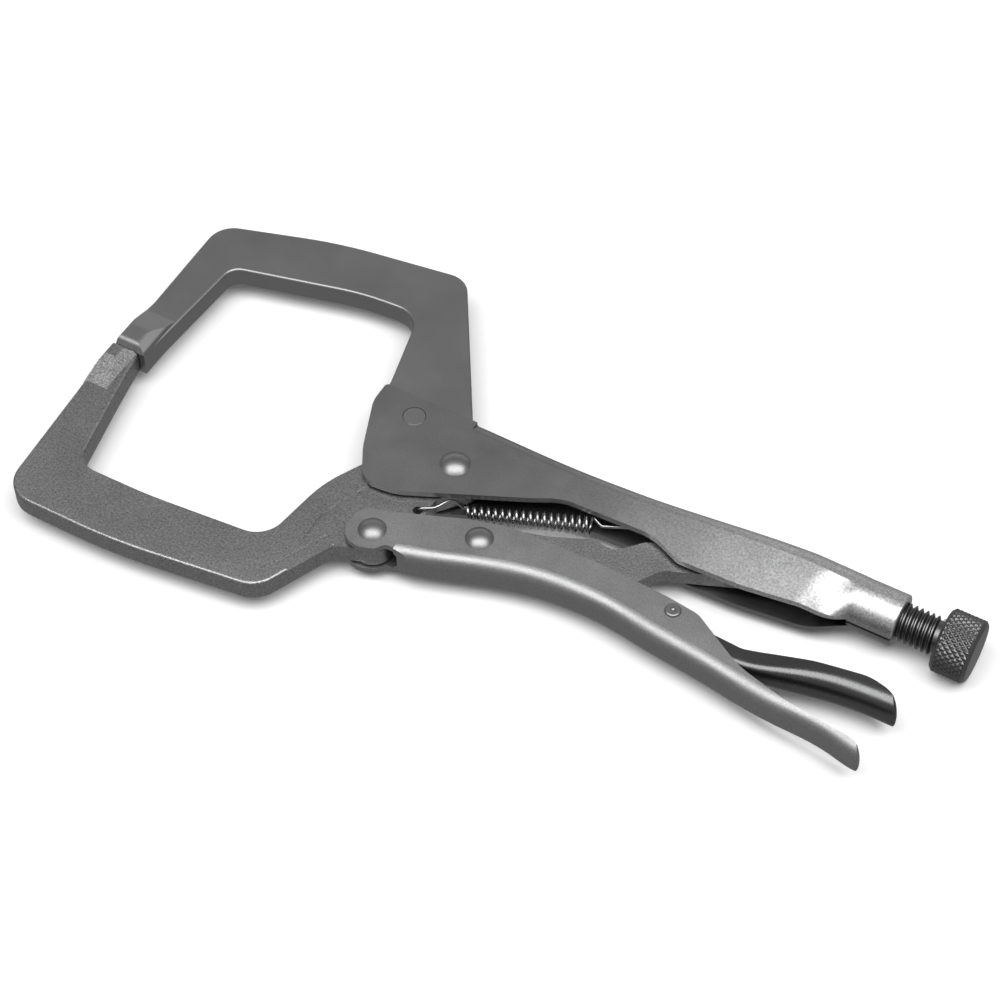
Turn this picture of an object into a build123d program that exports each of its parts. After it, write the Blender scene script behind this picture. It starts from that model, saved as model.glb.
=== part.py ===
"""Locking pliers, 11 inch C-clamp pattern, shut and locked.

Frame while modelling: main pivot at the origin, X towards the adjusting knob along the screw,
Y towards the fixed jaw, Z along the pivots. Every part is moved to the row origin on export:
the middle of the bottom of the bounding box, tool lying on its side.
"""

import os
from math import acos, atan2, degrees, pi, sin, sqrt, tan

from build123d import *

# ---------------------------------------------------------------- driving sizes, mm
OVERALL_LENGTH = 280.8  # jaws to knob
JAW_REACH = 118.4  # main pivot to the front of the jaws
ARM_TOP = 70.1  # highest of the fixed jaw above the main pivot
ARM_BOTTOM = -73.3  # lowest of the moving jaw

SHEET = 2.0  # pressed sheet of the handles
HANDLE_HALF = 6.0  # half width outside the cheeks
CHANNEL_HALF = HANDLE_HALF - SHEET
CHEEK_GAP = 0.3  # between a forged arm and a cheek
ARM_HALF = CHANNEL_HALF - CHEEK_GAP
WEB_HALF = ARM_HALF - 0.6  # thinned part of the moving jaw
LINK_GAP = 1.4  # between the toggle link and a cheek
LINK_HALF = CHANNEL_HALF - LINK_GAP
LEVER_GAP = 0.4  # between the release lever and a cheek
LEVER_HALF = CHANNEL_HALF - LEVER_GAP
LEVER_SHEET = 1.6
EDGE_ROUND = min(0.9, ARM_HALF / 3)  # softened forging edges
RUN = 0.05  # radial clearance of a turning fit
JAW_GAP = 0.3  # between the shut jaw tips

PIVOT_JAW = (0.0, 0.0)
PIVOT_HANDLE = (-8.8, -33.5)
PIVOT_LINK = (20.3, -21.0)
PIVOT_LEVER = (81.6, -16.8)
FIXED_PIN = (-20.2, 10.1)
SPRING_HOLE = (-1.9, -19.0)
SPRING_ANCHOR = (66.0, 12.1)

EYE_R = 9.0  # moving jaw around the main pivot
EYE_GAP = 0.8  # from the eye to the fixed jaw
KNUCKLE_R = 6.3  # moving jaw between the ears
MAIN_RIVET_R = 3.2
SIDE_RIVET_R = 2.8
HEAD_RIM = 1.5  # rivet head beyond its shank
HEAD_H = 1.9
LEVER_RIVET_R = 1.5
LEVER_HEAD_RIM, LEVER_HEAD_H = 0.95, 0.9
PIN_R = 3.6

SEAM_Y = -9.0  # where the jaw tips meet
TIP_HALF = 6.5
TIP_LENGTH = 10.6
TIP_FRONT_X = 0.8 - JAW_REACH
TIP_BACK_X = TIP_FRONT_X + TIP_LENGTH
TIP_FACE_HALF = 4.7
NOSE = 2.2  # fixed tip standing out past the moving tip at the throat

SCREW_Y = 16.4
THREAD_R = 5.85  # M12
THREAD_PITCH = 1.75
THREAD_DEPTH = 1.05
KNOB_R = 9.75
KNOB_LENGTH = 10.9
KNOB_ROUND = 1.3
SCREW_SHOWN = 12.5  # thread between barrel and knob
BARREL_WALL = 2.15
BARREL_LENGTH = 14.0
ROLL_LENGTH = 15.0  # where the cheeks close into the barrel
SCREW_INSIDE = 4.5  # screw reaching in past the barrel
TOE_GAP = 5.5  # toggle link end to screw tip while shut
KNOB_X1 = OVERALL_LENGTH - JAW_REACH
KNOB_X0 = KNOB_X1 - KNOB_LENGTH
BARREL_R = THREAD_R + BARREL_WALL
BARREL_X1 = KNOB_X0 - SCREW_SHOWN
BARREL_X0 = BARREL_X1 - BARREL_LENGTH
ROLL_X0 = BARREL_X0 - ROLL_LENGTH
SCREW_TIP_X = BARREL_X0 - SCREW_INSIDE

SPINE_X = -2.2  # front end of the spine of the upper handle
WAIST_X = 50.0  # the upper handle deepens from here back
GRIP_X = 60.0  # the lower handle falls away from here back
LOWER_TAIL_X = 148.5
SPOON_X = 104.0  # the release lever widens from here back
LEVER_TAIL_X = 151.5

WIRE_R = 0.5
COIL_START = (9.6, -10.3)
COIL_END = (44.6, 3.6)
COIL_GAP = 0.6  # from the widest coil to a cheek
COIL_R1 = CHANNEL_HALF - COIL_GAP - WIRE_R
COIL_R0 = COIL_R1 - 0.9
COIL_TURNS = 18


# ---------------------------------------------------------------- helpers
def outline(corners):
    """Closed face through corners (x, y, radius): straight sides, each corner an arc of its radius."""
    spans = []
    count = len(corners)
    for i, (x, y, radius) in enumerate(corners):
        here = Vector(x, y, 0)
        before = Vector(*corners[i - 1][:2], 0)
        after = Vector(*corners[(i + 1) % count][:2], 0)
        back = (before - here).normalized()
        ahead = (after - here).normalized()
        half = acos(max(-1.0, min(1.0, back.dot(ahead)))) / 2
        if radius == 0 or half > pi / 2 - 1e-3:
            spans.append((here, None, here))
            continue
        cut = radius / tan(half)
        middle = (back + ahead).normalized()
        spans.append(
            (
                here + back * cut,
                here + middle * (radius / sin(half) - radius),
                here + ahead * cut,
            )
        )
    edges = []
    for i, (start, bulge, end) in enumerate(spans):
        if bulge is not None:
            edges.append(Edge.make_three_point_arc(start, bulge, end))
        following = spans[(i + 1) % count][0]
        if (following - end).length > 1e-6:
            edges.append(Edge.make_line(end, following))
    return Face(Wire(edges))


def plate(face, low, high):
    """The flat face as a plate from z = low to z = high."""
    return Pos(0, 0, low) * extrude(face, high - low, dir=(0, 0, 1))


def disc(centre, radius, half):
    return Pos(centre[0], centre[1], 0) * Cylinder(radius, 2 * half)


def soften(solid, level, radius):
    """Round the two outlines of a plate at z = +level and z = -level."""
    rims = [e for e in solid.edges() if abs(abs(e.center().Z) - level) < 1e-4]
    return fillet(rims, radius)


def between(first, last, share):
    return first + (last - first) * share


def side_edge(start, end, belly):
    """Side of a profile: straight, or bulged outwards by belly."""
    if belly == 0:
        return Edge.make_line(start, end)
    chord = (end - start).normalized()
    out = Vector(0, -chord.Z, chord.Y)
    if out.Z * (start.Z + end.Z) < 0:
        out = -out
    return Edge.make_three_point_arc(start, (start + end) * 0.5 + out * belly, end)


def section(x, half, crown, radius, mouth, lip, belly):
    """Closed profile across a handle at x: rounded crown, sides down to lips at the mouth."""
    toward = 1 if crown > mouth else -1
    shoulder = crown - toward * radius
    slant = radius * (1 - sqrt(0.5))
    a = Vector(x, mouth, -lip)
    b = Vector(x, shoulder, -half)
    bend_1 = Vector(x, crown - toward * slant, -half + slant)
    c = Vector(x, crown, -half + radius)
    d = Vector(x, crown, half - radius)
    bend_2 = Vector(x, crown - toward * slant, half - slant)
    e = Vector(x, shoulder, half)
    f = Vector(x, mouth, lip)
    return Wire(
        [
            side_edge(a, b, belly),
            Edge.make_three_point_arc(b, bend_1, c),
            Edge.make_line(c, d),
            Edge.make_three_point_arc(d, bend_2, e),
            side_edge(e, f, belly),
            Edge.make_line(f, a),
        ]
    )


def channel(stations, mouth, sheet):
    """Pressed channel lofted through stations (x, half width, crown, corner radius)."""
    toward = 1 if stations[0][2] > mouth else -1
    outer = [section(x, w, c, r, mouth, w, 0) for x, w, c, r in stations]
    hollow = [
        section(x, w - sheet, c - toward * sheet, max(r - sheet, 0.6), mouth - toward, w - sheet, 0)
        for x, w, c, r in stations
    ]
    return Solid.make_loft(outer) - Solid.make_loft(hollow)


def dome_rivet(centre, shank_r, head_r, head_h):
    """Rivet with a domed head outside each cheek."""
    ball = (head_r**2 + head_h**2) / (2 * head_h)
    shape = disc(centre, shank_r, HANDLE_HALF)
    for side in (1, -1):
        cap = Pos(0, 0, side * (HANDLE_HALF + head_h - ball)) * Sphere(ball)
        keep = Pos(0, 0, side * (HANDLE_HALF + head_h / 2)) * Cylinder(head_r, head_h)
        shape += Pos(centre[0], centre[1], 0) * (cap & keep)
    return shape


def lever_rivet():
    """Small tubular rivet: low rounded heads with a hollow in the middle."""
    head_r = LEVER_RIVET_R + LEVER_HEAD_RIM
    shape = disc(PIVOT_LEVER, head_r, HANDLE_HALF + LEVER_HEAD_H)
    rims = shape.edges().filter_by(GeomType.CIRCLE)
    shape = fillet(rims, LEVER_HEAD_H * 0.7)
    shape -= disc(PIVOT_LEVER, head_r + 1, HANDLE_HALF) - disc(PIVOT_LEVER, LEVER_RIVET_R, HANDLE_HALF)
    for side in (1, -1):
        at = (PIVOT_LEVER[0], PIVOT_LEVER[1], side * (HANDLE_HALF + LEVER_HEAD_H + 0.35))
        shape -= Pos(*at) * Sphere(0.95)
    return shape


def flush_pin():
    pin = disc(FIXED_PIN, PIN_R, HANDLE_HALF)
    return chamfer(pin.edges().filter_by(GeomType.CIRCLE), 0.25)


# ---------------------------------------------------------------- forged jaws
def jaw_tip(profile, back_x, bevel):
    """Wide tip of a jaw: profile corners (y, half width, radius), bevelled towards the throat at back_x."""
    across = outline(profile + [(y, -z, radius) for y, z, radius in reversed(profile)])
    block = extrude(Plane.YZ.offset(TIP_FRONT_X - 1) * across, TIP_LENGTH + 2)
    bevel_x = between(back_x, TIP_FRONT_X, bevel)
    bevel_z = between(TIP_HALF, 0, bevel)
    plan = outline(
        [
            (TIP_FRONT_X, -TIP_HALF, 1.2),
            (bevel_x, -TIP_HALF, 2.4),
            (back_x, -bevel_z, 1.5),
            (back_x, bevel_z, 1.5),
            (bevel_x, TIP_HALF, 2.4),
            (TIP_FRONT_X, TIP_HALF, 1.2),
        ]
    )
    return block & extrude(Plane.XZ.offset(-60) * plan, 120)


def make_fixed_jaw():
    arm = outline(
        [
            (TIP_FRONT_X + 0.4, SEAM_Y + JAW_GAP, 0),
            (-JAW_REACH, ARM_TOP - 18.7, 9),
            (-80, ARM_TOP - 6.4, 150),
            (-36.1, ARM_TOP, 8),
            (-4.9, 19.3, 2),
            (SPINE_X - 0.3, 18.5, 0),
            (SPINE_X - 0.3, 14.4, 0),
            (8.6, 14.4, 1),
            (8.6, 9.9, 1),
            (-6.5, 9.9, 2),
            (-24.5, -7.0, 2),
            (-30, -2.5, 2),
            (-33.6, 8, 3),
            (-35.0, 21, 0),
            (-41.6, ARM_TOP - 21.2, 9),
            (-62, ARM_TOP - 22.5, 80),
            (TIP_BACK_X + 2.9, ARM_TOP - 33.2, 5),
            (TIP_BACK_X, SEAM_Y + JAW_GAP, 0),
        ]
    )
    body = soften(plate(arm, -ARM_HALF, ARM_HALF), ARM_HALF, EDGE_ROUND)
    shank = outline(
        [
            (-31.6, 16.6, 1),
            (SPINE_X - 0.5, 16.6, 0),
            (SPINE_X - 0.5, 13.0, 0),
            (7.6, 13.0, 1),
            (7.6, 11, 1),
            (-6.8, 11, 2),
            (-24.5, -4.9, 2),
            (-28.6, -1.5, 2),
            (-31.6, 7.5, 2),
        ]
    )
    body += plate(shank, -CHANNEL_HALF, CHANNEL_HALF)
    body -= disc(PIVOT_JAW, EYE_R + EYE_GAP, 20)
    body += jaw_tip(
        [
            (12.5, ARM_HALF - 0.7, 0),
            (8.4, ARM_HALF, 9),
            (-1.2, TIP_HALF, 9),
            (-7.0, TIP_HALF, 2.2),
            (SEAM_Y + JAW_GAP, TIP_FACE_HALF - 0.6, 0),
        ],
        TIP_BACK_X,
        0.3,
    )
    return body - disc(FIXED_PIN, PIN_R, 20)


def make_moving_jaw():
    arm = outline(
        [
            (TIP_FRONT_X + 0.05, SEAM_Y, 0),
            (TIP_FRONT_X + 0.05, -27, 20),
            (4.1 - JAW_REACH, ARM_BOTTOM, 10),
            (-75, ARM_BOTTOM + 0.1, 200),
            (-28.1, ARM_BOTTOM + 6.5, 10),
            (-17.0, -42.6, 5),
            (-9.0, -39.5, 0),
            (-4.0, -37.0, 0),
            (-3.0, -31.0, 3),
            (0.8, -24.5, 3),
            (0.8, -12.5, 2),
            (7.5, -4.8, 0),
            (3, 8.2, 0),
            (-4.9, 7.5, 0),
            (-24.8, -10.5, 0),
            (-32, -24, 40),
            (-35.9, ARM_BOTTOM + 23.6, 9),
            (-75, ARM_BOTTOM + 20.1, 150),
            (TIP_BACK_X + 6.8, ARM_BOTTOM + 19.7, 7),
            (TIP_BACK_X + 0.6, -24, 30),
            (TIP_BACK_X - NOSE, SEAM_Y, 0),
        ]
    )
    body = soften(plate(arm, -ARM_HALF, ARM_HALF), ARM_HALF, EDGE_ROUND)
    body += disc(PIVOT_JAW, EYE_R, WEB_HALF)
    body += disc(PIVOT_HANDLE, KNUCKLE_R, WEB_HALF)
    recess = outline(
        [
            (-12, -4, 0),
            (-21.2, -20.8, 25),
            (-26.0, -33, 12),
            (-25.9, -46.5, 0.6),
            (-20.4, -39.2, 4),
            (-17.3, -33, 8),
            (-17.0, -42, 0),
            (-9, -60, 0),
            (30, -60, 0),
            (30, 30, 0),
            (-12, 30, 0),
        ]
    )
    for side in (1, -1):
        low = WEB_HALF if side > 0 else -ARM_HALF - 2
        body -= plate(recess, low, low + ARM_HALF + 2 - WEB_HALF)
    body += jaw_tip(
        [
            (SEAM_Y, TIP_FACE_HALF, 0),
            (-10.6, TIP_HALF, 1.2),
            (-14.6, TIP_HALF, 0.5),
            (-26.5, ARM_HALF - 0.3, 0),
        ],
        TIP_BACK_X - NOSE,
        0.45,
    )
    body -= disc(PIVOT_JAW, MAIN_RIVET_R + RUN, 20)
    body -= disc(PIVOT_HANDLE, SIDE_RIVET_R + RUN, 20)
    return body - disc(SPRING_HOLE, WIRE_R + 1, 20)


# ---------------------------------------------------------------- pressed handles
UPPER_BEND = HANDLE_HALF - 1
UPPER_FRONT = [(SPINE_X, 18.6), (14, 18.4), (30, 18.3), (43, 18.7), (WAIST_X, 19.1)]
ROLL_CROWN = SCREW_Y + BARREL_R + 0.2
ROLL_MOUTH = 3.2
ROLL_LIP = HANDLE_HALF + 0.15
ROLL_WIDENING = 0.85
# from the waist to the roll: share of the way, share of the widening, crown, more bend
UPPER_REAR = [
    (0, 0, 19.1, 0),
    (0.117, 0.015, 19.5, 0),
    (0.3, 0.125, 20.5, 0.2),
    (0.533, 0.35, 22.1, 0.8),
    (0.833, 0.7, ROLL_CROWN - 0.6, 1.8),
    (1, ROLL_WIDENING, ROLL_CROWN, 2.2),
]
REAR_MOUTH = -2.0
# through the roll: share of the way, mouth, lip half width, outside and inside belly
ROLL = [
    (0, ROLL_MOUTH, ROLL_LIP, 0, 0),
    (0.25, 3.7, 5.8, -0.25, -0.2),
    (0.5, 4.5, 4.6, -0.5, -0.35),
    (0.75, 6.2, 3.0, 0.7, 0.23 * THREAD_R),
    (1, SCREW_Y - BARREL_R + 0.2, 1.2, 2.0, 0.27 * THREAD_R),
]
SLOT_HALF = 0.5


def upper_rear():
    """Channel behind the waist: widens at the spine while the lips keep nearly the front width."""
    outer = []
    hollow = []
    for share, widening, crown, more in UPPER_REAR:
        x = between(WAIST_X, ROLL_X0, share)
        half = between(HANDLE_HALF, BARREL_R, widening)
        bend = UPPER_BEND + more
        lip_at_roll = between(HANDLE_HALF, ROLL_LIP, share)
        lean = (half - lip_at_roll) / (crown - bend - ROLL_MOUTH)
        lip = lip_at_roll - lean * (ROLL_MOUTH - REAR_MOUTH)
        outer.append(section(x, half, crown, bend, REAR_MOUTH, lip, 0))
        lower_lip = lip - lean - SHEET
        hollow.append(section(x, half - SHEET, crown - SHEET, bend - SHEET, REAR_MOUTH - 1, lower_lip, 0))
    return Solid.make_loft(outer) - Solid.make_loft(hollow)


def roll():
    """Sheet rolled inwards from the open channel to the closed barrel."""
    outer = []
    hollow = []
    widest = between(HANDLE_HALF, BARREL_R, ROLL_WIDENING)
    screw_room = THREAD_R + 0.15
    for share, mouth, lip, belly, inner_belly in ROLL:
        x = between(ROLL_X0, BARREL_X0 + 1, share)
        half = between(widest, BARREL_R - 0.1, share)
        crown = between(ROLL_CROWN, SCREW_Y + BARREL_R - 0.1, share)
        bend = between(UPPER_BEND + 2.2, BARREL_R - 0.5, share)
        outer.append(section(x, half, crown, bend, mouth, lip, belly))
        inner_half = between(widest - SHEET, screw_room, share)
        inner_crown = between(ROLL_CROWN - SHEET, SCREW_Y + screw_room, share)
        inner_bend = between(UPPER_BEND + 2.2 - SHEET, screw_room - 0.4, share)
        inner_lip = max(lip - SHEET, 0.3)
        hollow.append(section(x, inner_half, inner_crown, inner_bend, mouth - 0.6, inner_lip, inner_belly))
    return Solid.make_loft(outer) - Solid.make_loft(hollow)


def make_upper_handle():
    cheek = outline([(-40, -30, 0), (SPINE_X, -30, 0), (SPINE_X, 17.6, 0), (-40, 17.6, 0)])
    body = channel([(x, HANDLE_HALF, y, UPPER_BEND) for x, y in UPPER_FRONT], -30, SHEET)
    for low in (CHANNEL_HALF, -HANDLE_HALF):
        body += plate(cheek, low, low + SHEET)
    body += upper_rear()
    side_view = outline(
        [
            (-34.4, 17.4, 1.2),
            (-34.4, 9.5, 12),
            (-27.6, -7.9, 30),
            (-21.4, -18.8, 7),
            (-10.5, -17.8, 20),
            (26, -0.6, 12),
            (34.5, 4.0, 16),
            (between(WAIST_X, ROLL_X0, 0.233), 5.0, 18),
            (between(WAIST_X, ROLL_X0, 0.408), 0.4, 6),
            (between(WAIST_X, ROLL_X0, 0.733), 1.1, 40),
            (ROLL_X0, ROLL_MOUTH, 0),
            (ROLL_X0, 40, 0),
            (SPINE_X, 40, 0),
            (SPINE_X, 17.4, 0),
        ]
    )
    body = body & plate(side_view, -20, 20)
    body += roll()
    barrel = Cylinder(BARREL_R, BARREL_LENGTH)
    barrel = fillet(barrel.edges().filter_by(GeomType.CIRCLE).sort_by(Axis.Z)[-1:], 0.6)
    body += along_screw(barrel, (BARREL_X0 + BARREL_X1) / 2)
    bore_length = BARREL_X1 - SCREW_TIP_X + 2
    body -= along_screw(Cylinder(THREAD_R + RUN, bore_length), SCREW_TIP_X - 1 + bore_length / 2)
    slot = outline(
        [
            (BARREL_X0 - 2.5, SCREW_Y - 4, 0),
            (BARREL_X0 - 2.5, SCREW_Y - 14, 0),
            (BARREL_X1 + 1, SCREW_Y - 14, 0),
            (BARREL_X1 + 1, SCREW_Y - 4, 0),
        ]
    )
    body -= plate(slot, -SLOT_HALF, SLOT_HALF)
    anchor_x, anchor_y = SPRING_ANCHOR
    tab = outline(
        [
            (anchor_x - 2.4, anchor_y + 7, 0),
            (anchor_x + 2.4, anchor_y + 7, 0),
            (anchor_x + 2.4, anchor_y - 1.4, 2.2),
            (anchor_x - 2.4, anchor_y - 1.4, 2.2),
        ]
    )
    body += plate(tab, -0.8, 0.8) - disc(SPRING_ANCHOR, WIRE_R + 0.6, 5)
    body -= disc(PIVOT_JAW, MAIN_RIVET_R, 20)
    return body - disc(FIXED_PIN, PIN_R, 20)


BEND_R = HANDLE_HALF - 1.8
LOWER_FRONT = [(0, -38.8), (8, -36.3), (17, -33.2), (26, -30.0), (34.5, -27.5), (43, -25.8), (52, -25.0)]
# from the grip to the tail: share of the way, spine
LOWER_REAR = [
    (0, -24.9),
    (0.1, -25.7),
    (0.237, -27.4),
    (0.362, -28.6),
    (0.497, -30.2),
    (0.678, -32.0),
    (0.859, -32.8),
    (1.04, -33.2),
]


def tail_plan(x_end, half, corner):
    """Everything up to a tail end that is rounded when seen from below."""
    plan = outline([(-60, -half, 0), (x_end, -half, corner), (x_end, half, corner), (-60, half, 0)])
    return Pos(0, 100, 0) * Rot(90, 0, 0) * extrude(plan, 200, dir=(0, 0, 1))


def make_lower_handle():
    spine = LOWER_FRONT + [(between(GRIP_X, LOWER_TAIL_X, share), y) for share, y in LOWER_REAR]
    body = channel([(x, HANDLE_HALF, y, BEND_R) for x, y in spine], 10, SHEET)
    ear = outline([(-20, -50, 0), (0, -50, 0), (0, 0, 0), (-20, 0, 0)])
    for low in (CHANNEL_HALF, -HANDLE_HALF):
        body += plate(ear, low, low + SHEET)
    side_view = outline(
        [
            (-16.4, -33.5, 0),
            (-15.6, -27.5, 5),
            (-8.0, -25.4, 4),
            (14, -16.4, 40),
            (26, -12.9, 30),
            (56, -12.0, 60),
            (PIVOT_LEVER[0] - 3.6, -12.9, 30),
            (PIVOT_LEVER[0] + 6.9, -14.2, 8),
            (between(GRIP_X, LOWER_TAIL_X, 0.52), -24.6, 30),
            (between(GRIP_X, LOWER_TAIL_X, 0.7), -28.6, 20),
            (between(GRIP_X, LOWER_TAIL_X, 0.926), -30.8, 10),
            (LOWER_TAIL_X + 0.4, -32.4, 7),
            (LOWER_TAIL_X + 2.5, -50, 0),
            (4.4, -50, 0),
            (4.2, -36.4, 1),
            (-2.6, -36.4, 2),
            (-4.5, -39.4, 3),
            (-9.5, -41.2, 6),
            (-16.0, -39.6, 6),
        ]
    )
    body = body & plate(side_view, -20, 20)
    body = body & tail_plan(LOWER_TAIL_X, HANDLE_HALF + 1, HANDLE_HALF + 0.4)
    body -= disc(PIVOT_HANDLE, SIDE_RIVET_R, 20)
    body -= disc(PIVOT_LINK, SIDE_RIVET_R, 20)
    return body - disc(PIVOT_LEVER, LEVER_RIVET_R, 20)


LEVER_BEND = LEVER_HALF - 1.2
LEVER_FRONT = [(58, -20.8), (70, -22.2), (82, -23.2), (94, -23.7), (100, -23.6), (SPOON_X, -23.3)]
# from the spoon to the tail: share of the way, widening, spine, more bend
LEVER_REAR = [
    (0, 0, -23.3, 0),
    (0.063, 0.05, -23.0, 0.1),
    (0.19, 0.6, -22.0, 0.7),
    (0.38, 1.6, -20.0, 1.8),
    (0.59, 2.0, -18.0, 2.4),
    (0.8, 2.1, -16.9, 2.5),
    (1.095, 2.1, -16.4, 2.5),
]


def make_release_lever():
    body = channel([(x, LEVER_HALF, y, LEVER_BEND) for x, y in LEVER_FRONT], 10, LEVER_SHEET)
    spoon = []
    for share, widening, y, more in LEVER_REAR:
        x = between(SPOON_X, LEVER_TAIL_X, share)
        spoon.append((x, LEVER_HALF + widening, y, LEVER_BEND + more))
    body += channel(spoon, 10, LEVER_SHEET)
    side_view = outline(
        [
            (60, -18.4, 0.8),
            (72, -15.2, 6),
            (90, -16.6, 10),
            (SPOON_X, -17.3, 6),
            (between(SPOON_X, LEVER_TAIL_X, 0.17), -15.2, 8),
            (between(SPOON_X, LEVER_TAIL_X, 0.42), -12.3, 20),
            (between(SPOON_X, LEVER_TAIL_X, 0.76), -9.6, 14),
            (LEVER_TAIL_X - 0.6, -12.2, 11),
            (LEVER_TAIL_X + 2.5, -24, 0),
            (LEVER_TAIL_X + 2.5, -40, 0),
            (60, -40, 0),
        ]
    )
    body = body & plate(side_view, -20, 20)
    body = body & tail_plan(LEVER_TAIL_X, LEVER_HALF + 3, LEVER_HALF + 2.4)
    return body - disc(PIVOT_LEVER, LEVER_RIVET_R + RUN, 20)


# ---------------------------------------------------------------- link, screw, spring
def make_toggle_link():
    toe_x = SCREW_TIP_X - TOE_GAP
    view = outline(
        [
            (14.2, -24, 5),
            (15.8, -14.6, 5),
            (36, -8.3, 20),
            (49, -2.6, 6),
            (55.5, -3.6, 5),
            (63, 4.6, 8),
            (between(WAIST_X, ROLL_X0, 0.5), 8.6, 30),
            (toe_x - 6.5, 19.2, 3),
            (toe_x, 17.5, 3),
            (toe_x - 2.4, 13.2, 2.5),
            (between(WAIST_X, ROLL_X0, 0.667), 4.8, 20),
            (71, -3.2, 7),
            (65.5, -12.6, 3),
            (58, -16.2, 10),
            (22, -27.9, 6.5),
        ]
    )
    body = plate(view, -LINK_HALF, LINK_HALF)
    return body - disc(PIVOT_LINK, SIDE_RIVET_R + RUN, 20)


def along_screw(shape, x):
    return Pos(x, SCREW_Y, 0) * Rot(0, 90, 0) * shape


def make_adjusting_screw():
    core_r = THREAD_R - THREAD_DEPTH
    length = KNOB_X0 - SCREW_TIP_X
    half_base = THREAD_PITCH * 0.46
    half_crest = THREAD_PITCH * 0.09
    root = core_r - 0.12
    helix = Wire([Edge.make_helix(THREAD_PITCH, length - THREAD_PITCH * 1.4, core_r)])
    tooth = [
        Vector(root, 0, -half_base),
        Vector(THREAD_R, 0, -half_crest),
        Vector(THREAD_R, 0, half_crest),
        Vector(root, 0, half_base),
    ]
    ridge = Solid.sweep(Face(Wire.make_polygon(tooth)), path=helix, is_frenet=True)
    thread = Pos(0, 0, THREAD_PITCH * 0.7) * ridge
    shaft = Pos(0, 0, (length + 1) / 2) * Cylinder(core_r, length + 1)
    shaft = chamfer(shaft.edges().sort_by(Axis.Z)[:1], 0.7)
    knob = Cylinder(KNOB_R, KNOB_LENGTH)
    knob = fillet(knob.edges().filter_by(GeomType.CIRCLE), KNOB_ROUND)
    return along_screw(shaft + thread, SCREW_TIP_X) + along_screw(knob, (KNOB_X0 + KNOB_X1) / 2)


def make_tension_spring():
    start = Vector(*COIL_START, 0)
    run = Vector(*COIL_END, 0) - start
    axis = run.normalized()
    taper = degrees(atan2(COIL_R1 - COIL_R0, run.length))
    coil = Edge.make_helix(run.length / COIL_TURNS, run.length, COIL_R0, angle=taper)
    coil = Plane(origin=start, z_dir=axis, x_dir=Vector(-axis.Y, axis.X, 0)).from_local_coords(coil)
    hole = Vector(*SPRING_HOLE, 0)
    front_hook = Edge.make_spline(
        [
            hole + Vector(-0.4, 0.3, -WEB_HALF - 1.2),
            hole + Vector(-0.2, 0.2, 0),
            hole + Vector(0.6, 0.6, WEB_HALF + 0.5),
            hole + Vector(3.4, 2.6, WEB_HALF + 0.4),
            coil @ 0 + Vector(-2.2, -0.9, 0.9),
            coil @ 0,
        ],
        tangents=[Vector(0, 0, 1), coil % 0],
    )
    anchor = Vector(*SPRING_ANCHOR, 0)
    tail_start = start + axis * (run.length + 3.6)
    tail_end = anchor - axis * 2.2 + Vector(0, 0, 1.6)
    along = (tail_end - tail_start).normalized()
    rear_bend = Edge.make_spline([coil @ 1, tail_start], tangents=[coil % 1, along])
    rear_hook = Edge.make_spline(
        [tail_end, anchor + Vector(-0.3, 0, 1.3), anchor, anchor + Vector(0.1, 0, -1.9)],
        tangents=[along, Vector(0, 0, -1)],
    )
    path = Wire([front_hook, coil, rear_bend, Edge.make_line(tail_start, tail_end), rear_hook])
    wire = Face(Wire.make_circle(WIRE_R, Plane(origin=path @ 0, z_dir=path % 0)))
    return Solid.sweep(wire, path=path, is_frenet=True)


# ---------------------------------------------------------------- export
def make_all():
    return {
        "upper_handle": make_upper_handle(),
        "fixed_jaw": make_fixed_jaw(),
        "fixed_jaw_pin": flush_pin(),
        "main_pivot_rivet": dome_rivet(PIVOT_JAW, MAIN_RIVET_R, MAIN_RIVET_R + HEAD_RIM, HEAD_H),
        "moving_jaw": make_moving_jaw(),
        "jaw_handle_rivet": dome_rivet(PIVOT_HANDLE, SIDE_RIVET_R, SIDE_RIVET_R + HEAD_RIM, HEAD_H),
        "lower_handle": make_lower_handle(),
        "toggle_link": make_toggle_link(),
        "link_rivet": dome_rivet(PIVOT_LINK, SIDE_RIVET_R, SIDE_RIVET_R + HEAD_RIM, HEAD_H),
        "release_lever": make_release_lever(),
        "release_lever_rivet": lever_rivet(),
        "adjusting_screw": make_adjusting_screw(),
        "tension_spring": make_tension_spring(),
    }


def main():
    os.makedirs("parts", exist_ok=True)
    shapes = make_all()
    boxes = [s.bounding_box() for s in shapes.values()]
    mid_x = (min(b.min.X for b in boxes) + max(b.max.X for b in boxes)) / 2
    mid_y = (min(b.min.Y for b in boxes) + max(b.max.Y for b in boxes)) / 2
    floor = min(b.min.Z for b in boxes)
    for name, shape in shapes.items():
        solids = shape.solids()
        placed = Pos(-mid_x, -mid_y, -floor) * (solids[0] if len(solids) == 1 else Compound(children=solids))
        print(name, len(solids), round(sum(s.volume for s in solids), 1), shape.is_valid)
        export_step(placed, f"parts/{name}.step")
    print("shift", round(-mid_x, 4), round(-mid_y, 4), round(-floor, 4))


if __name__ == "__main__":
    main()
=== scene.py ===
from math import cos, pi, radians, sin

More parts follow.
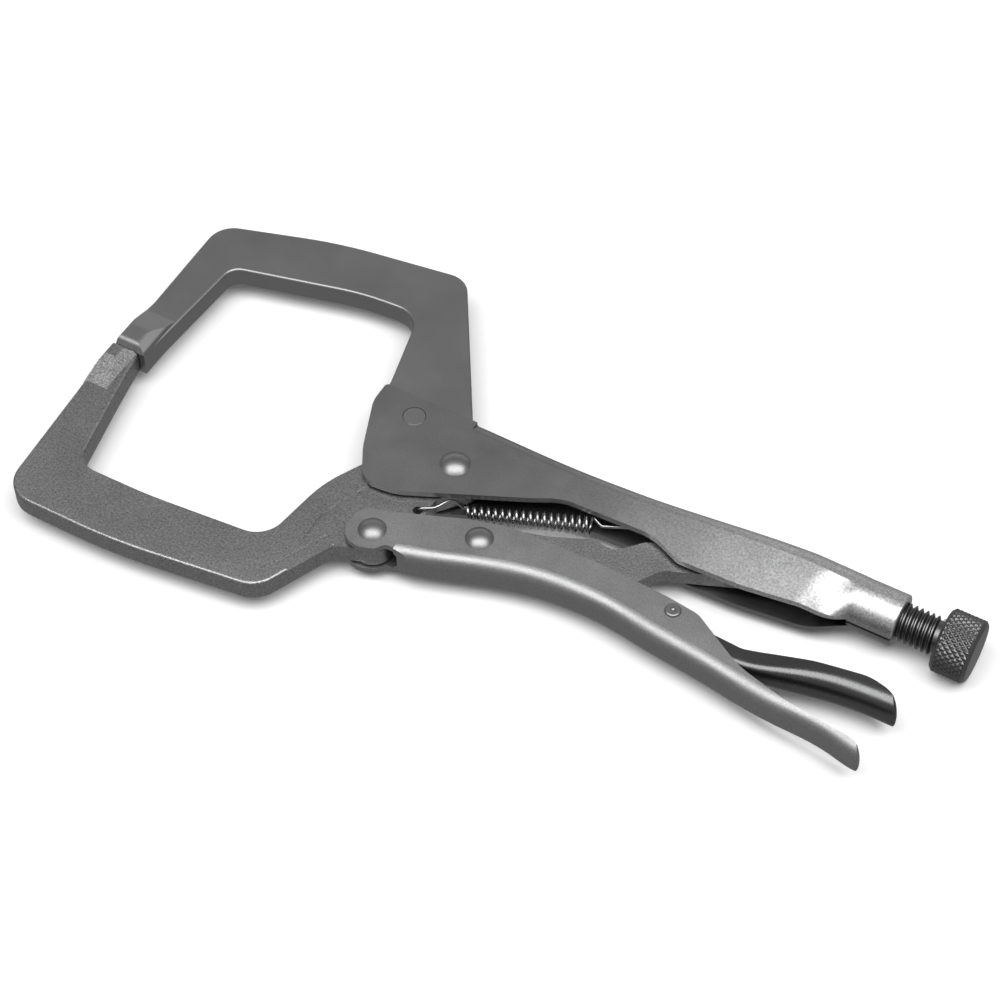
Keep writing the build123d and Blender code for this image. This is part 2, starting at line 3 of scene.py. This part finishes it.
import bmesh
import bpy
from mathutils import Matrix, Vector

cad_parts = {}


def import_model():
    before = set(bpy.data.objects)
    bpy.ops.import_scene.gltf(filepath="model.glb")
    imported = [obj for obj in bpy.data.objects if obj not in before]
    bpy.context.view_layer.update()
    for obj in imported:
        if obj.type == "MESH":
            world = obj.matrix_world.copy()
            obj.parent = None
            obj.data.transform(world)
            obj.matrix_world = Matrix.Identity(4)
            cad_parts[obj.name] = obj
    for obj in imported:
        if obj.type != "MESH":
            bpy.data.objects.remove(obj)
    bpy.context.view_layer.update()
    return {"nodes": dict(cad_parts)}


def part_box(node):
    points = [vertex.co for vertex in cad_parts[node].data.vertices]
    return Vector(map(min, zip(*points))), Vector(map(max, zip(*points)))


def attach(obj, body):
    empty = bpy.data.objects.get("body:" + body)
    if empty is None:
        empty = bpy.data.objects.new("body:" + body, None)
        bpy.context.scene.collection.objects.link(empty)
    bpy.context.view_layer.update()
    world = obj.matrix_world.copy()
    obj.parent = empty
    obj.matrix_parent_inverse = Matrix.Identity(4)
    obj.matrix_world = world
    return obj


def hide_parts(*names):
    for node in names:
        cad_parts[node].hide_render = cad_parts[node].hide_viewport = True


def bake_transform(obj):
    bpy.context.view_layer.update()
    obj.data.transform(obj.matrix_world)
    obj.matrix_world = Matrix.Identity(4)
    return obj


MM = 0.001
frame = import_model()
nodes = frame["nodes"]


# ---------------------------------------------------------------- materials
def new_material(name):
    material = bpy.data.materials.new(name)
    material.use_nodes = True
    tree = material.node_tree
    tree.nodes.clear()
    output = tree.nodes.new("ShaderNodeOutputMaterial")
    shader = tree.nodes.new("ShaderNodeBsdfPrincipled")
    tree.links.new(shader.outputs["BSDF"], output.inputs["Surface"])
    return material, tree, shader


def noise(tree, where, scale, detail=3.0, rough=0.55):
    node = tree.nodes.new("ShaderNodeTexNoise")
    node.inputs["Scale"].default_value = scale
    node.inputs["Detail"].default_value = detail
    node.inputs["Roughness"].default_value = rough
    tree.links.new(where, node.inputs["Vector"])
    return node.outputs["Fac"]


def remap(tree, value, low, high, start=0.3, end=0.7):
    node = tree.nodes.new("ShaderNodeMapRange")
    node.inputs["From Min"].default_value = start
    node.inputs["From Max"].default_value = end
    node.inputs["To Min"].default_value = low
    node.inputs["To Max"].default_value = high
    tree.links.new(value, node.inputs["Value"])
    return node.outputs["Result"]


def tint(tree, value, dark, light, start=0.3, end=0.7):
    node = tree.nodes.new("ShaderNodeValToRGB")
    node.color_ramp.elements[0].position = start
    node.color_ramp.elements[0].color = (*dark, 1)
    node.color_ramp.elements[1].position = end
    node.color_ramp.elements[1].color = (*light, 1)
    tree.links.new(value, node.inputs["Fac"])
    return node.outputs["Color"]


def bump(tree, shader, height, distance, under=None):
    node = tree.nodes.new("ShaderNodeBump")
    node.inputs["Strength"].default_value = 1.0
    node.inputs["Distance"].default_value = distance
    tree.links.new(height, node.inputs["Height"])
    if under is not None:
        tree.links.new(under, node.inputs["Normal"])
    tree.links.new(node.outputs["Normal"], shader.inputs["Normal"])
    return node.outputs["Normal"]


def grey(level):
    return (level, level, level * 1.01)


PATCH_SCALE = 55.0  # per metre, of the slow changes in tone and gloss
PATCH_DARKEST = 0.95


def steel(name, dark, light, rough, grain, pits):
    """Plated steel. grain is (per metre, depth mm) of the fine surface; pits is the coarser one."""
    material, tree, shader = new_material(name)
    where = tree.nodes.new("ShaderNodeTexCoord").outputs["Object"]
    speckle = noise(tree, where, grain[0], 3.0, 0.6)
    patch = noise(tree, where, PATCH_SCALE, 4.0, 0.6)
    colour = tint(tree, speckle, dark, light)
    worn = tree.nodes.new("ShaderNodeMixRGB")
    worn.blend_type = "MULTIPLY"
    worn.inputs["Fac"].default_value = 1.0
    tree.links.new(colour, worn.inputs["Color1"])
    shade = tint(tree, patch, (PATCH_DARKEST,) * 3, (1.0, 1.0, 1.0))
    tree.links.new(shade, worn.inputs["Color2"])
    tree.links.new(worn.outputs["Color"], shader.inputs["Base Color"])
    tree.links.new(remap(tree, patch, rough[0], rough[1]), shader.inputs["Roughness"])
    shader.inputs["Metallic"].default_value = 1.0
    coarse = noise(tree, where, pits[0], 2.0, 0.5)
    under = bump(tree, shader, coarse, pits[1] * MM)
    bump(tree, shader, speckle, grain[1] * MM, under)
    return material


PAINTED_LIGHT_X_FROM, PAINTED_LIGHT_X_TO = 0.005, 0.075  # along the handle, where the painted light (a paler colour for light falling on the upper rear) starts and is full
PAINTED_LIGHT_Z_FROM, PAINTED_LIGHT_Z_TO = 9.0 * MM, 13.0 * MM  # the painted light is on the upper side only
# speckle scale and grey levels of the painted light on the upper rear
PAINTED_LIGHT_SPECKLE = 1500.0
PAINTED_LIGHT_DARKEST, PAINTED_LIGHT_PALEST = 0.391, 0.713


def painted_light_tail(material):
    """Paints light into the sheet's colour: paler and more speckled towards the tail, on its upper side,
    where light falls; the speckle is the sheet's grain.
    """
    tree = material.node_tree
    shader = next(node for node in tree.nodes if node.bl_idname == "ShaderNodeBsdfPrincipled")
    where = tree.nodes.new("ShaderNodeTexCoord").outputs["Object"]
    split = tree.nodes.new("ShaderNodeSeparateXYZ")
    tree.links.new(where, split.inputs["Vector"])
    along = remap(tree, split.outputs["X"], 0.0, 1.0, PAINTED_LIGHT_X_FROM, PAINTED_LIGHT_X_TO)
    above = remap(tree, split.outputs["Z"], 0.0, 1.0, PAINTED_LIGHT_Z_FROM, PAINTED_LIGHT_Z_TO)
    painted_light_mask = tree.nodes.new("ShaderNodeMath")
    painted_light_mask.operation = "MULTIPLY"
    tree.links.new(along, painted_light_mask.inputs[0])
    tree.links.new(above, painted_light_mask.inputs[1])
    speckle = noise(tree, where, PAINTED_LIGHT_SPECKLE, 3.0, 0.7)
    painted_light_colour = tint(tree, speckle, grey(PAINTED_LIGHT_DARKEST), grey(PAINTED_LIGHT_PALEST), 0.35, 0.65)
    painted_light_mix = tree.nodes.new("ShaderNodeMixRGB")
    tree.links.new(painted_light_mask.outputs["Value"], painted_light_mix.inputs["Fac"])
    tree.links.new(shader.inputs["Base Color"].links[0].from_socket, painted_light_mix.inputs["Color1"])
    tree.links.new(painted_light_colour, painted_light_mix.inputs["Color2"])
    tree.links.new(painted_light_mix.outputs["Color"], shader.inputs["Base Color"])


SATIN = steel(
    "satin_forging", grey(0.28), grey(0.32), (0.38, 0.44), (3200.0, 0.006), (220.0, 0.008)
)
BLASTED = steel(
    "blasted_forging", grey(0.20), grey(0.44), (0.36, 0.44), (1700.0, 0.07), (900.0, 0.06)
)
PLATED_UPPER_PAINTED_LIGHT = steel(
    "plated_sheet", grey(0.23), grey(0.30), (0.38, 0.46), (2600.0, 0.02), (160.0, 0.02)
)
# painted light: the upper handle's upper rear is made paler in its colour
painted_light_tail(PLATED_UPPER_PAINTED_LIGHT)
PLATED_LOWER = steel(
    "plated_sheet_lower", grey(0.27), grey(0.38), (0.40, 0.50), (2300.0, 0.03), (160.0, 0.02)
)
# painted shade: the release lever gets a much darker colour than the other sheet, standing in for shade
# on it
LEVER_PAINTED_SHADE = steel("lever_painted_shade", grey(0.10), grey(0.15), (0.26, 0.32), (2600.0, 0.012), (160.0, 0.01))
RIVET = steel("bright_rivet", grey(0.24), grey(0.30), (0.34, 0.42), (2500.0, 0.004), (500.0, 0.005))
SCREW = steel("screw_steel", grey(0.12), grey(0.20), (0.32, 0.40), (2500.0, 0.006), (400.0, 0.01))
WIRE = steel("spring_wire", grey(0.36), grey(0.48), (0.22, 0.30), (2500.0, 0.002), (500.0, 0.004))


# ---------------------------------------------------------------- knurled knob
KNOB_RADIUS = 9.75 * MM
KNOB_CHAMFER = 0.9 * MM
KNURL_TEETH = 34
KNURL_PITCH = 2.3 * MM
KNURL_DEPTH = 0.42 * MM
RING_STEPS = 12 * KNURL_TEETH
KNURL_RINGS = 40
FACE_BEVEL = 0.25 * MM


def ridge(turns):
    """0 in a knurl groove and 1 half way between two grooves."""
    part = turns % 1.0
    return 2.0 * min(part, 1.0 - part)


def knurl_height(angle, along):
    turn = angle * KNURL_TEETH / (2 * pi)
    shift = along / KNURL_PITCH
    return min(1.0, 1.35 * min(ridge(turn + shift), ridge(turn - shift)))


def knob_rings(start, end):
    """(x, radius, share of the knurl's depth) of each ring, from the rear face to the front face."""
    rings = [(start, 0.3 * KNOB_RADIUS, 0.0)]
    rings.append((start, KNOB_RADIUS - KNOB_CHAMFER, 0.0))
    knurl_start = start + KNOB_CHAMFER
    knurl_end = end - KNOB_CHAMFER
    for step in range(KNURL_RINGS + 1):
        edge = min(step, KNURL_RINGS - step)
        x = knurl_start + (knurl_end - knurl_start) * step / KNURL_RINGS
        rings.append((x, KNOB_RADIUS, min(1.0, edge / 2.0)))
    rings.append((end - FACE_BEVEL, KNOB_RADIUS - KNOB_CHAMFER + FACE_BEVEL, 0.0))
    rings.append((end, KNOB_RADIUS - KNOB_CHAMFER - 0.15 * MM, 0.0))
    rings.append((end, 0.25 * KNOB_RADIUS, 0.0))
    return rings


def add_knob(bm, start, end, axis_y, axis_z):
    loops = []
    for x, radius, share in knob_rings(start, end):
        loop = []
        for step in range(RING_STEPS):
            angle = 2 * pi * step / RING_STEPS
            r = radius
            if share:
                r -= share * KNURL_DEPTH * (1.0 - knurl_height(angle, x - start))
            loop.append(bm.verts.new((x, axis_y + r * cos(angle), axis_z + r * sin(angle))))
        loops.append(loop)
    for first, second in zip(loops, loops[1:]):
        for step in range(RING_STEPS):
            after = (step + 1) % RING_STEPS
            bm.faces.new((first[step], first[after], second[after], second[step]))
    bm.faces.new(list(reversed(loops[0])))
    bm.faces.new(loops[-1])


def knurled_screw():
    """The screw of the frame with its plain knob made again with a diamond knurl."""
    source = nodes["adjusting_screw"]
    low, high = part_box("adjusting_screw")
    axis_y = (low.y + high.y) / 2
    axis_z = (low.z + high.z) / 2
    widest = [v.co.x for v in source.data.vertices if abs(v.co.z - axis_z) > 0.8 * KNOB_RADIUS]
    start, end = min(widest), high.x
    bm = bmesh.new()
    bm.from_mesh(source.data)
    knob = [face for face in bm.faces if face.calc_center_median().x > start - 0.02 * MM]
    bmesh.ops.delete(bm, geom=knob, context="FACES")
    add_knob(bm, start, end, axis_y, axis_z)
    mesh = bpy.data.meshes.new("knurled_screw")
    bm.to_mesh(mesh)
    bm.free()
    screw = bpy.data.objects.new("knurled_screw", mesh)
    bpy.context.scene.collection.objects.link(screw)
    mesh.materials.clear()
    mesh.materials.append(SCREW)
    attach(screw, "screw")
    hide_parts("adjusting_screw")
    return screw


FINISH = {
    "upper_handle": PLATED_UPPER_PAINTED_LIGHT,
    "fixed_jaw": SATIN,
    "fixed_jaw_pin": SATIN,
    "main_pivot_rivet": RIVET,
    "moving_jaw": BLASTED,
    "jaw_handle_rivet": RIVET,
    "lower_handle": PLATED_LOWER,
    "toggle_link": BLASTED,
    "link_rivet": RIVET,
    "release_lever": LEVER_PAINTED_SHADE,
    "release_lever_rivet": RIVET,
    "adjusting_screw": SCREW,
    "tension_spring": WIRE,
}
for node_name, material in FINISH.items():
    mesh = nodes[node_name].data
    mesh.materials.clear()
    mesh.materials.append(material)
knurled_screw()


# ---------------------------------------------------------------- spring copied from the frame
def following_spring():
    """The spring of the frame, its rear end on the upper handle and its front hook on the moving jaw."""
    source = nodes["tension_spring"]
    spring = bpy.data.objects.new("following_spring", source.data.copy())
    bpy.context.scene.collection.objects.link(spring)
    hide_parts("tension_spring")
    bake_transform(spring)
    return spring


following_spring()


# ---------------------------------------------------------------- floor, light, camera
def floor():
    bpy.ops.mesh.primitive_plane_add(size=6.0, location=(0, 0, -0.0002))
    plane = bpy.context.object
    plane.name = "floor"
    material, tree, shader = new_material("pale_floor")
    where = tree.nodes.new("ShaderNodeTexCoord").outputs["Object"]
    tone = noise(tree, where, 8.0)
    tree.links.new(tint(tree, tone, (0.93, 0.93, 0.93), (0.95, 0.95, 0.95)), shader.inputs["Base Color"])
    shader.inputs["Roughness"].default_value = 0.8
    shader.inputs["Specular IOR Level"].default_value = 0.1
    plane.data.materials.append(material)
    plane.visible_glossy = False


VIEW_TURN = radians(29.33)


def along_view(right, ahead, up):
    """A point given by how far right, ahead and up it is as the camera looks at the tool."""
    x = right * cos(VIEW_TURN) - ahead * sin(VIEW_TURN)
    y = right * sin(VIEW_TURN) + ahead * cos(VIEW_TURN)
    return Vector((x, y, up))


def soft_light(name, place, width, height, power):
    data = bpy.data.lights.new(name, "AREA")
    data.shape = "RECTANGLE"
    data.size = width
    data.size_y = height
    data.energy = power
    light = bpy.data.objects.new(name, data)
    light.location = place
    light.rotation_euler = (Vector((0, 0, 0)) - place).to_track_quat("-Z", "Y").to_euler()
    bpy.context.scene.collection.objects.link(light)
    return light


def world(level):
    scene_world = bpy.data.worlds.new("studio")
    bpy.context.scene.world = scene_world
    scene_world.use_nodes = True
    background = scene_world.node_tree.nodes["Background"]
    background.inputs["Color"].default_value = (1, 1, 1, 1)
    background.inputs["Strength"].default_value = level


def camera():
    data = bpy.data.cameras.new("camera")
    data.sensor_width = 36.0
    data.lens = 90.0
    data.clip_end = 20.0
    camera_object = bpy.data.objects.new("camera", data)
    camera_object.location = (0.2225, -0.4059, 0.5958)
    camera_object.rotation_euler = (radians(90 - 51.5), 0, VIEW_TURN)
    bpy.context.scene.collection.objects.link(camera_object)
    bpy.context.scene.camera = camera_object


floor()
world(0.32)
soft_light("overhead", along_view(0.0, -0.20, 0.85), 1.5, 0.62, 12.0)
soft_light("backdrop", along_view(0.0, 1.3, 0.38), 2.2, 0.4, 1.6)
camera()
bpy.context.scene.view_settings.view_transform = "Standard"
